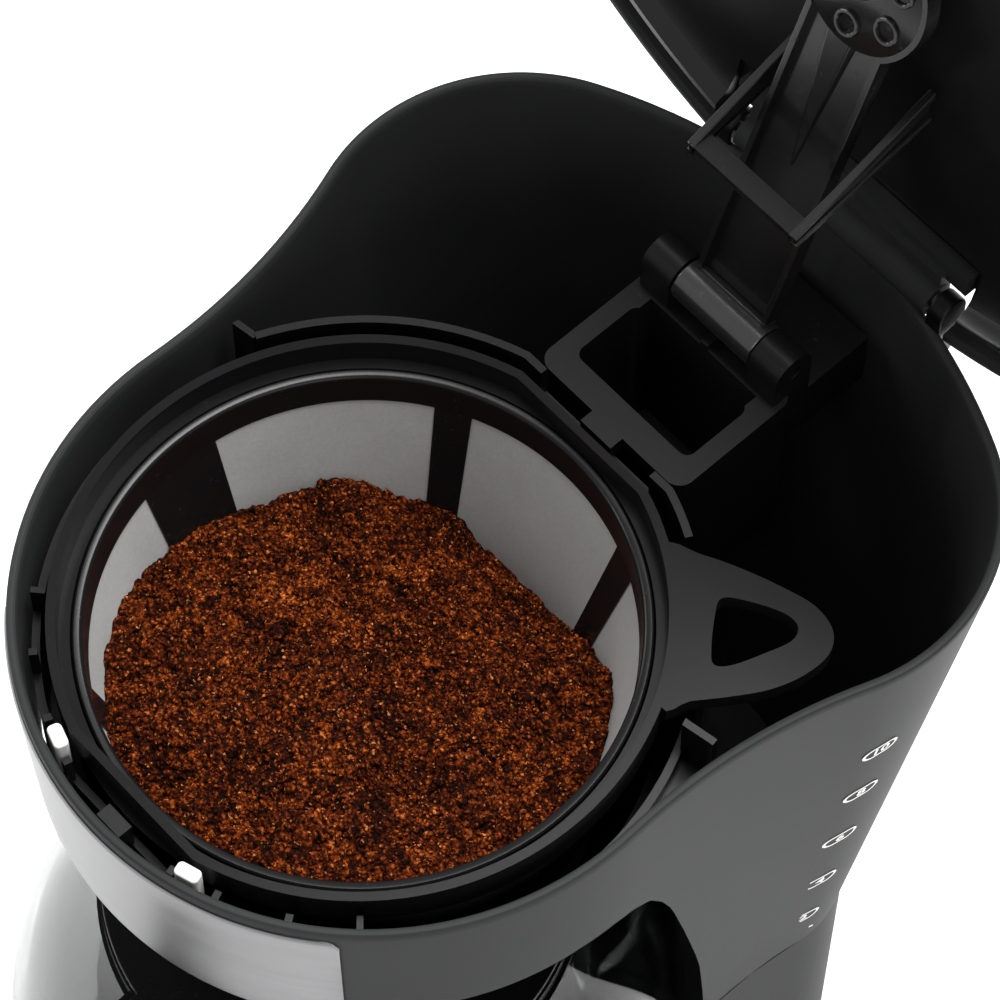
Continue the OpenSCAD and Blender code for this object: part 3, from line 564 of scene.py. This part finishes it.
band_rows = [(0, 0.05), (0, -0.25), (0.012, -0.62), (0.028, -0.7), (0.25, -0.7), (0.5, -0.7), (0.75, -0.7),
    (0.972, -0.7), (0.988, -0.62), (1, -0.25), (1, 0.05)]
band_skin = loft([band_row(RIM_Z - 3.4, RIM_Z - 49, s, o) for s, o in band_rows], closed_ring=False, wrap=True)
band = piece("steel_band", *band_skin, "housing", steel_band, "front_panel", crease=30)
fix_normals(band)
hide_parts("front_panel")

# water marks on the right side of the tank: a rounded label and its number, and a bar for the least
MARK_Y = 77.0


def on_wall(a, z, lift=0.2):
    """A point just proud of the tank's right wall, a mm to the rear of the marks' line and at height z."""
    r = LOBE_R - TAPER * (RIM_Z - z) / DEPTH + lift
    y = MARK_Y + a
    return (LOBE_C[0] + math.sqrt(r * r - (y - LOBE_C[1]) ** 2), y, z)


def number_mesh(text, size):
    """A number's faces, flat and about the origin."""
    curve = bpy.data.curves.new("digits", "FONT")
    curve.body = text
    curve.size = size
    curve.align_x = "CENTER"
    curve.align_y = "CENTER"
    curve.resolution_u = 3
    curve.offset = 0.12
    obj = bpy.data.objects.new("digits", curve)
    bpy.context.scene.collection.objects.link(obj)
    bpy.context.view_layer.update()
    mesh = obj.to_mesh()
    points = [tuple(v.co) for v in mesh.vertices]
    faces = [tuple(p.vertices) for p in mesh.polygons]
    obj.to_mesh_clear()
    bpy.data.objects.remove(obj)
    return points, faces


def label_ring(length, height, line, steps=48):
    """A long ring with round ends, flat and about the origin."""
    outer, inner = [], []
    for k in range(steps):
        a = 2 * math.pi * k / steps
        cx = math.copysign(max(0.0, (length - height) / 2), math.cos(a))
        outer.append((cx + height / 2 * math.cos(a), height / 2 * math.sin(a)))
        inner.append((cx + (height / 2 - line) * math.cos(a), (height / 2 - line) * math.sin(a)))
    faces = [(k, (k + 1) % steps, steps + (k + 1) % steps, steps + k) for k in range(steps)]
    return outer + inner, faces


marks = []
for count, below in ((10, 49), (8, 77), (6, 109), (4, 141), (2, 170)):
    z = RING_Z - below
    for points, faces in (label_ring(9.4, 6.2, 0.85), number_mesh(str(count), 4.9)):
        marks.append(([on_wall(p[0], z + p[1]) for p in points], faces))
bar = [(-5.5, -0.6), (5.5, -0.6), (5.5, 0.6), (-5.5, 0.6)]
marks.append(([on_wall(a, RING_Z - 185 + b) for a, b in bar], [(0, 1, 2, 3)]))
piece("water_marks", *together(*marks), "housing", white_ink, "body_shell")

# ---------------------------------------------------------------- lid


def lid_shape(scale, z):
    """The lid's outline drawn in about its middle, z mm above the basket's ring."""
    base = outline(HEAD_R + 0.2, (0, HEAD_Y), 32, (58.6, 104.5))
    return [(x * scale, 35 + (y - 35) * scale, RING_Z + z) for x, y in base]


lid_turn = swing(LID_AXIS, LID_OPEN)
skin_rows = [(0.3, 15.4), (0.46, 15.0), (0.62, 14.3), (0.76, 13.2), (0.86, 11.8), (0.93, 9.6), (0.96, 7.4),
    (0.972, 5), (0.976, 1.9), (0.980, 1.7), (0.994, 1.7), (0.999, 2.0), (1, 3), (1, 6), (0.997, 8),
    (0.985, 10), (0.962, 11.9), (0.92, 13.6), (0.86, 14.9), (0.76, 16.1), (0.62, 17.0), (0.46, 17.5),
    (0.3, 17.7)]
lid_skin = piece("lid_skin", *loft([lid_shape(s, z) for s, z in skin_rows], caps=True), "lid", charcoal,
    "lid_cover")
fix_normals(lid_skin)
carve(lid_skin, *slab(-36, 36, 136.6, 160, RING_Z - 5, RING_Z + 30))
knuckle = piece("lid_knuckle", *together(slab(-35.8, 35.8, 131, 136.7, RING_Z + 7.6, RING_Z + 11.4),
    slab(-30, 30, 134, 142, RING_Z + 5.6, RING_Z + 9.25), rod(*LID_AXIS, 4.25, -30.1, 30.1, hole=2.05)),
    "lid", charcoal, "lid_cover")
tray_rows = [(0.28, 13.2), (0.45, 12.9), (0.62, 12.2), (0.74, 11.2), (0.83, 9.9), (0.88, 8.4), (0.905, 6.4),
    (0.918, 3.2), (0.924, 2.7), (0.938, 2.7), (0.944, 3.2), (0.945, 6.4), (0.92, 8.9), (0.84, 11.4),
    (0.62, 13.7), (0.28, 14.9)]
lid_tray = piece("lid_tray", *loft([lid_shape(s, z) for s, z in tray_rows], caps=True), "lid", lid_black,
    "lid_liner")
fix_normals(lid_tray)
carve(lid_tray, *slab(-38, 38, 127.5, 160, RING_Z - 5, RING_Z + 30))
for obj in (lid_skin, lid_tray, knuckle):
    obj.data.transform(lid_turn)
    smooth(obj, 30)
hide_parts("lid_cover")
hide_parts("lid_liner")


def fork_leg(x0, x1):
    """One side of the stirrup: a thin plate with a rib along each of its long edges."""
    z = RING_Z
    return together(
        side_on([(96.5, z - 28.5), (100.0, z - 28.5), (100.1, z - 25), (89.0, z + 11), (84.0, z + 11.2)], x0, x1),
        side_on([(96.5, z - 28.5), (97.6, z - 28.5), (84.2, z + 11.2), (81.7, z + 11.3)],
            x0 - 0.9 if x0 < 0 else x0, x1 if x0 < 0 else x1 + 0.9),
        side_on([(98.9, z - 28.5), (100.0, z - 28.5), (100.1, z - 25), (92.3, z + 11), (90.8, z + 11)],
            x0 - 0.9 if x0 < 0 else x0, x1 if x0 < 0 else x1 + 0.9))


FORK_HALF = 15.7
fork = piece("lid_fork", *together(fork_leg(-FORK_HALF, -14.7), fork_leg(14.7, FORK_HALF),
    slab(-FORK_HALF, FORK_HALF, 96.5, 97.7, RING_Z - 28.5, RING_Z - 23.4),
    slab(-FORK_HALF, FORK_HALF, 96.5, 98.6, RING_Z - 28.5, RING_Z - 27.4),
    slab(-FORK_HALF, FORK_HALF, 96.5, 98.6, RING_Z - 24.4, RING_Z - 23.4)),
    "lid", lid_black, "lid_stirrup", turn=lid_turn)
fix_normals(fork)
soften(fork, 0.25)
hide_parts("lid_stirrup")

# ---------------------------------------------------------------- spray arm

arm_turn = swing(ARM_AXIS, ARM_OPEN)
ROSE_R, BEAM_HALF, NECK = 17, 10.8, 50.6  # the spray head, half the beam's width, and where they meet
deck = [(-BEAM_HALF, 101), (-BEAM_HALF, HEAD_END + 13.2)]
deck += [(ROSE_R * math.cos(t), HEAD_END + ROSE_R * math.sin(t))
    for t in np.radians(np.linspace(180 - NECK, 360 + NECK, 49))]
deck += [(BEAM_HALF, HEAD_END + 13.2), (BEAM_HALF, 101)]
beam = piece("arm_beam", *plate(deck, RING_Z + 3.2, RING_Z + 5.4), "arm", gloss_black, "spray_arm",
    turn=arm_turn)
fix_normals(beam)
soften(beam, 0.5)
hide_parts("spray_arm")


def edge_wall(shape, width, z0, z1):
    """A low wall that follows a line on its inner side."""
    inner = []
    n = len(shape)
    for i in range(n):
        a, b = shape[max(0, i - 1)], shape[min(n - 1, i + 1)]
        length = math.dist(a, b)
        nx, ny = (b[1] - a[1]) / length, -(b[0] - a[0]) / length
        inner.append((shape[i][0] - nx * width, shape[i][1] - ny * width))
    return plate(shape + inner[::-1], z0, z1)


walls = piece("arm_walls", *edge_wall(deck, 1.4, RING_Z + 1.0, RING_Z + 3.3), "arm", gloss_black, "spray_arm",
    turn=arm_turn)
fix_normals(walls)
soften(walls, 0.4)
web = [(101.5, RING_Z + 1.4), (106, RING_Z + 1.0), (107, RING_Z + 7.2), (101.5, RING_Z + 5.3)]
barrel = piece("arm_barrel", *together(rod(*ARM_AXIS, 5.4, -12.2, 12.2, 56, hole=2.05),
    side_on(web, -BEAM_HALF, BEAM_HALF)), "arm", hinge_black, "spray_arm", turn=arm_turn)
fix_normals(barrel)
soften(barrel, 0.4)
wedge_points = [(-0.4, 62, RING_Z + 3.3), (0.4, 62, RING_Z + 3.3), (3.4, HEAD_END + 17, RING_Z + 3.3),
    (-5.2, HEAD_END + 17, RING_Z + 3.3), (-0.3, 60, RING_Z + 2.9), (0.3, 60, RING_Z + 2.9),
    (2.4, HEAD_END + 15, RING_Z + 1.7), (-4.2, HEAD_END + 15, RING_Z + 1.7)]
wedge_faces = [(0, 1, 2, 3), (4, 7, 6, 5), (0, 4, 5, 1), (1, 5, 6, 2), (2, 6, 7, 3), (3, 7, 4, 0)]
wedge = piece("arm_wedge", wedge_points, wedge_faces, "arm", gloss_black, "spray_arm", turn=arm_turn)
fix_normals(wedge)
soften(wedge, 0.4, 3)
outlets = [(0, 0)] + [(10.6 * math.cos(a), 10.6 * math.sin(a)) for a in np.radians(range(30, 360, 60))]
rose = [lathe([(15.7, RING_Z + 2.55), (15.7, RING_Z + 1.4), (15.3, RING_Z + 1.2), (0.01, RING_Z + 1.2)],
    (0, HEAD_END), 72)]
for x, y in outlets:
    rose.append(lathe([(3.3, RING_Z + 1.3), (3.2, RING_Z + 0.6), (3.0, RING_Z + 0.42), (2.5, RING_Z + 0.42),
        (2.25, RING_Z + 0.6), (2.2, RING_Z + 1.25), (0.01, RING_Z + 1.25)], (x, HEAD_END + y), 36))
spray_rose = piece("spray_rose", *together(*rose), "arm", gloss_black, "spray_plate", turn=arm_turn)
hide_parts("spray_plate")

# ---------------------------------------------------------------- reusable filter and its coffee

FILTER_Z = RING_Z - 6.4
MESH_TOP, MESH_FOOT = FILTER_Z - 8.6, RING_Z - 76
MESH_R, MESH_FOOT_R = 60.2, 42.0


def mesh_radius(z):
    """Radius of the filter's wall at height z."""
    return MESH_FOOT_R + (MESH_R - MESH_FOOT_R) * (z - MESH_FOOT) / (MESH_TOP - MESH_FOOT)


CLOTH_HALF = 0.2
cone = [(mesh_radius(z) + t, z) for t, z in ((-CLOTH_HALF, MESH_FOOT - 0.2), (-CLOTH_HALF, MESH_TOP + 0.4),
    (CLOTH_HALF, MESH_TOP + 0.4), (CLOTH_HALF, MESH_FOOT - 0.2))]
mesh_floor = [(0.01, MESH_FOOT - 0.6), (MESH_FOOT_R, MESH_FOOT - 0.6), (MESH_FOOT_R, MESH_FOOT - 1),
    (0.01, MESH_FOOT - 1)]
cloth = piece("mesh_cloth", *together(lathe(cone, segments=180, wrap=True), lathe(mesh_floor, segments=90)),
    "filter", mesh_cloth, "filter_mesh")
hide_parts("filter_mesh")
collar = [(60.6, FILTER_Z - 0.15), (60.9, FILTER_Z), (62.0, FILTER_Z), (62.4, FILTER_Z - 0.4),
    (62.4, FILTER_Z - 1.8), (61.6, FILTER_Z - 2.4), (MESH_R + 0.9, MESH_TOP - 0.6),
    (MESH_R - 0.5, MESH_TOP - 0.6), (MESH_R - 0.75, MESH_TOP - 0.3), (MESH_R - 0.6, MESH_TOP + 0.2),
    (60.1, FILTER_Z - 1.2), (60.25, FILTER_Z - 0.5)]
RIB_HALF = 0.62
ribs = []
for middle, half in ((2, 10), (66, 4.2), (119, 4.2), (182, 10), (243, 4.2), (303, 4.2)):
    corners = ((MESH_FOOT - 0.5, -RIB_HALF), (MESH_TOP + 1, -RIB_HALF), (MESH_TOP + 1, RIB_HALF),
        (MESH_FOOT - 0.5, RIB_HALF))
    strip = [(mesh_radius(z) + t, z) for z, t in corners]
    rib = lathe(strip, start=middle - half, sweep=2 * half, segments=10, wrap=True)
    ends = [tuple(j * 11 for j in range(4)), tuple(j * 11 + 10 for j in (3, 2, 1, 0))]
    ribs.append((rib[0], rib[1] + ends))
foot = [(30, MESH_FOOT - 1.8), (MESH_FOOT_R + 1, MESH_FOOT - 1.8), (MESH_FOOT_R + 1, MESH_FOOT),
    (30, MESH_FOOT)]
basket_frame = piece("filter_frame_moulding", *together(lathe(collar, segments=180, wrap=True),
    lathe(foot, segments=120, wrap=True), *ribs), "filter", deep_black, "filter_frame")
fix_normals(basket_frame)
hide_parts("filter_frame")


def ripple(x, y, size, seed):
    """Smooth random height between -1 and 1 with bumps of about this size in mm."""
    grid = np.random.RandomState(seed).rand(256, 256)
    u, v = x / size + 71.3, y / size + 53.9
    i, j = np.floor(u).astype(int), np.floor(v).astype(int)
    fu, fv = u - i, v - j
    fu, fv = fu * fu * (3 - 2 * fu), fv * fv * (3 - 2 * fv)
    i1, j1 = (i + 1) % 256, (j + 1) % 256
    i, j = i % 256, j % 256
    low = grid[i, j] * (1 - fu) + grid[i1, j] * fu
    high = grid[i, j1] * (1 - fu) + grid[i1, j1] * fu
    return 2 * (low * (1 - fv) + high * fv) - 1


HEAP_R, HEAP_X, HEAP_Y = 140.0, 18.7, -42.0
HEAP_Z = RING_Z - 9.8 - HEAP_R


def heap_base(x, y):
    """The round heap that the coffee settles from."""
    return HEAP_Z + np.sqrt(HEAP_R ** 2 - (x - HEAP_X) ** 2 - (y - HEAP_Y) ** 2)


# height of the coffee where it meets the filter's wall, by angle in degrees
EDGE = [(-180, -35.0), (-162, -30.5), (-147, -25.4), (-134, -23.2), (-125, -23.8), (-112, -19), (-90, -14),
    (-60, -11), (-34, -10), (-10, -15), (10, -23), (29, -30), (40.6, -31.2), (49.5, -31.4), (60, -39),
    (70, -47), (80, -51.6), (93, -52.5), (106, -49), (117, -44.5), (130, -41.5), (144, -38.2), (155, -38.8),
    (168.5, -38.8), (180, -35.0)]


def settled(x, y):
    """Shift from the round heap to the level where it meets the wall."""
    turn, far = np.degrees(np.arctan2(y, x)), np.hypot(x, y)
    wall = np.interp(turn, [a for a, _ in EDGE], [z for _, z in EDGE]) + RING_Z
    r = 48.0 + (wall - RING_Z + 50) * 0.25
    edge = heap_base(r * np.cos(np.radians(turn)), r * np.sin(np.radians(turn)))
    share = np.clip((far - 14) / (r - 14), 0, 1.2)
    return (wall - edge) * share * share


def heap_height(x, y):
    """Height of the coffee's surface, lumps and crumbs and all."""
    lumps = 2.2 * ripple(x, y, 19, 1) + 1.5 * ripple(x, y, 9, 2) + 1.1 * ripple(x, y, 4.6, 3)
    crumbs = 0.9 * np.abs(ripple(x, y, 2.6, 4)) + 0.6 * np.abs(ripple(x, y, 1.4, 5))
    crumbs += 0.3 * ripple(x, y, 0.8, 6)
    return np.minimum(heap_base(x, y) + settled(x, y) + lumps + crumbs * 1.5 - 1.8, RING_Z - 9.9)


turns, steps = 560, 170
angle = np.linspace(0, 2 * math.pi, turns, endpoint=False)
reach = np.full(turns, 55.0)
for _ in range(8):
    z = heap_height(reach * np.cos(angle), reach * np.sin(angle))
    reach = np.clip(mesh_radius(z) - 0.25, 40, 61)
share = (np.arange(1, steps + 1) / steps) ** 0.9
gx = np.outer(share, reach * np.cos(angle))
gy = np.outer(share, reach * np.sin(angle))
gz = heap_height(gx, gy)
points = [(0.0, 0.0, float(heap_height(np.array([0.0]), np.array([0.0]))[0]))]
points += list(zip(gx.ravel().tolist(), gy.ravel().tolist(), gz.ravel().tolist()))
faces = [(0, 1 + i, 1 + (i + 1) % turns) for i in range(turns)]
for k in range(steps - 1):
    a, b = 1 + k * turns, 1 + (k + 1) * turns
    faces += [(a + i, b + i, b + (i + 1) % turns, a + (i + 1) % turns) for i in range(turns)]
base = len(points)
foot_ring = [(40.5 * math.cos(a), 40.5 * math.sin(a), MESH_FOOT + 0.2) for a in angle]
points += foot_ring
last = 1 + (steps - 1) * turns
faces += [(last + i, base + i, base + (i + 1) % turns, last + (i + 1) % turns) for i in range(turns)]
faces.append(tuple(base + i for i in range(turns)))
heap = piece("coffee_heap", points, faces, "filter", heap_brown, "coffee_grounds", crease=180)
fix_normals(heap)
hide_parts("coffee_grounds")

# loose crumbs on the heap: small knobbly grains of many sizes
GOLD = (1 + 5 ** 0.5) / 2
knob = [(-1, GOLD, 0), (1, GOLD, 0), (-1, -GOLD, 0), (1, -GOLD, 0), (0, -1, GOLD), (0, 1, GOLD),
    (0, -1, -GOLD), (0, 1, -GOLD), (GOLD, 0, -1), (GOLD, 0, 1), (-GOLD, 0, -1), (-GOLD, 0, 1)]
knob = np.array(knob) / math.sqrt(1 + GOLD * GOLD)
knob_faces = [(0, 11, 5), (0, 5, 1), (0, 1, 7), (0, 7, 10), (0, 10, 11), (1, 5, 9), (5, 11, 4), (11, 10, 2),
    (10, 7, 6), (7, 1, 8), (3, 9, 4), (3, 4, 2), (3, 2, 6), (3, 6, 8), (3, 8, 9), (4, 9, 5), (2, 4, 11),
    (6, 2, 10), (8, 6, 7), (9, 8, 1)]
rng = np.random.RandomState(7)
crumbs = 8500
turn = rng.rand(crumbs) * 2 * math.pi
out = np.sqrt(rng.rand(crumbs))
spot_reach = np.interp(turn, angle, reach, period=2 * math.pi)
cx, cy = out * (spot_reach - 0.8) * np.cos(turn), out * (spot_reach - 0.8) * np.sin(turn)
size = np.clip(np.exp(rng.normal(-0.75, 0.42, crumbs)), 0.22, 1.35)
cz = heap_height(cx, cy) + size * 0.12
grains, grain_faces = [], []
for k in range(crumbs):
    stretch = np.clip(rng.normal(1.0, 0.22, 3), 0.55, 1.5) * size[k]
    spin, _ = np.linalg.qr(rng.normal(size=(3, 3)))
    shape = (knob * (1 + rng.uniform(-0.22, 0.22, (12, 1))) * stretch) @ spin
    at = len(grains)
    grains += [(float(a + cx[k]), float(b + cy[k]), float(c + cz[k])) for a, b, c in shape]
    grain_faces += [tuple(at + i for i in f) for f in knob_faces]
piece("coffee_crumbs", grains, grain_faces, "filter", crumb_brown, "coffee_grounds", crease=60)

# ---------------------------------------------------------------- jug

JUG_Z = TABLE_TO_PLATE + 0.1
jug_outer = [(57, 0.25), (60, 0.3), (63, 1.4), (66, 3.4), (68.5, 6), (71.6, 10.6), (74.5, 16), (77.8, 22.4),
    (80.5, 29), (82.5, 35.6), (83.8, 42), (84.4, 47), (84.5, 52), (84.3, 57.4), (83.6, 63), (82.3, 69.4),
    (80.6, 76), (78.4, 82), (75.6, 88), (72.6, 93.6), (69, 99), (65.5, 103.7), (62, 108), (59.1, 111.8),
    (56.9, 115.2), (54.9, 118.2), (54.3, 120), (54.4, 124), (54.55, 126.4), (54.1, 127)]
jug_inner = [(52.3, 127), (51.9, 126.4), (51.8, 120), (52.3, 117.6), (54.3, 114.6), (59.5, 107), (66.5, 98),
    (73, 87.2), (78, 75.4), (81, 62.6), (81.9, 52), (81.2, 42.6), (78, 29.8), (72, 17.4), (65.6, 7.6),
    (61.4, 4.4), (57, 3.3), (0.01, 3.2)]
jug_wall = [(r, JUG_Z + h) for r, h in [(0.01, 0.6), (54, 0.6)] + jug_outer + jug_inner]
jug_body = piece("jug_body", *lathe(jug_wall, (0, -JUG_OFFSET), 160), "jug", glass, "jug_glass", crease=50)
fix_normals(jug_body)
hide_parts("jug_glass")

# ---------------------------------------------------------------- carried-over mouldings


def dress(node, material, edge=0.0, segments=2):
    """Gives a carried-over CAD node its finish and softened edges."""
    obj = CAD[node]
    obj.data.materials.clear()
    obj.data.materials.append(material)
    obj.data.polygons.foreach_set("use_smooth", [True] * len(obj.data.polygons))
    if edge:
        weld = obj.modifiers.new("weld", "WELD")
        weld.merge_threshold = 2e-6
        flat = obj.modifiers.new("flat faces", "DECIMATE")
        flat.decimate_type = "DISSOLVE"
        flat.angle_limit = math.radians(0.6)
        soften(obj, edge, segments)
    else:
        obj.data.set_sharp_from_angle(angle=math.radians(30))


dress("niche_wall", inner_black)
dress("brew_chamber", inner_black, 0.35)
dress("bridge_column", inner_black, 0.3)
dress("tank_floor", inner_black)
dress("base_housing", charcoal, 0.8)
dress("base_plate", inner_black, 0.3)
dress("feet", dull_rubber, 0.4)
dress("hot_plate", plate_coat)
dress("plate_seal", dull_rubber)
dress("heating_element", cast_alloy, 0.4)
dress("thermostat", cream_sleeve, 0.2)
dress("thermal_fuses", cream_sleeve)
dress("cold_hose", milky_hose)
dress("check_valve", natural_plastic)
dress("hot_hose", milky_hose)
dress("riser_tube", milky_hose)
dress("switch_bezel", gloss_black, 0.3)
dress("power_rocker", gloss_black, 0.4)
dress("pilot_lens", lens_red, 0.6)
dress("cord_inlet", dull_rubber, 0.4)
dress("base_screws", turned_steel)
dress("lid_buffers", white_pad, 0.8, 3)
dress("lid_pin", turned_steel, 0.3)
dress("arm_pin", turned_steel, 0.3)
dress("brew_basket", ring_black, 0.5, 3)
dress("valve_seat", dull_rubber)
dress("drip_valve", natural_plastic, 0.3)
dress("valve_spring", turned_steel)
dress("jug_collar", deep_black, 0.5)
dress("jug_handle", deep_black, 1.6, 3)
dress("handle_screws", turned_steel)
dress("jug_lid", deep_black, 0.5)

# ---------------------------------------------------------------- floor, light and camera

floor_mesh = bpy.data.meshes.new("floor")
floor_mesh.from_pydata([(-8, -8, 0), (8, -8, 0), (8, 8, 0), (-8, 8, 0)], [], [(0, 1, 2, 3)])
floor = bpy.data.objects.new("floor", floor_mesh)
bpy.context.scene.collection.objects.link(floor)
pale = Finish("pale_floor")
floor.data.materials.append(pale.set(colour=(0.93, 0.93, 0.93), rough=0.9, gloss=0.0))

world = bpy.data.worlds.new("studio")
bpy.context.scene.world = world
world.use_nodes = True
world.node_tree.nodes["Background"].inputs[0].default_value = (1, 1, 1, 1)
world.node_tree.nodes["Background"].inputs[1].default_value = 0.5


def softbox(name, place, aim, size, power):
    """A rectangular lamp that faces its aim."""
    light = bpy.data.lights.new(name, "AREA")
    light.shape = "RECTANGLE"
    light.size, light.size_y = size
    light.energy = power
    obj = bpy.data.objects.new(name, light)
    obj.location = place
    obj.rotation_euler = (Vector(aim) - Vector(place)).to_track_quat("-Z", "Y").to_euler()
    bpy.context.scene.collection.objects.link(obj)


softbox("softbox_top", (0.1, 0.5, 1.9), (0, 0, 0.28), (1.0, 1.0), 62)
softbox("softbox_right", (1.5, -0.7, 0.9), (0, 0, 0.25), (0.9, 1.2), 6)
softbox("softbox_left", (-1.4, -0.4, 1.0), (0, 0, 0.28), (0.4, 1.2), 7)
softbox("strip_left", (-0.9, -0.9, 0.7), (-0.05, -0.05, 0.2), (0.06, 0.9), 3)

EYE = (335.4, -266.1, RING_Z + 848.8)   # where the camera stands
right = Vector((0.6737, 0.7390, 0.0)).normalized()
back = Vector((0.3480, -0.3174, 0.8821)).normalized()
lens = bpy.data.cameras.new("camera")
lens.lens = 160.57
lens.sensor_width = 36
lens.clip_end = 50
camera = bpy.data.objects.new("camera", lens)
stance = Matrix((right, back.cross(right), back)).transposed().to_4x4()
camera.matrix_world = Matrix.Translation(here(*EYE)) @ stance
bpy.context.scene.collection.objects.link(camera)
bpy.context.scene.camera = camera
bpy.context.scene.view_settings.view_transform = "Standard"
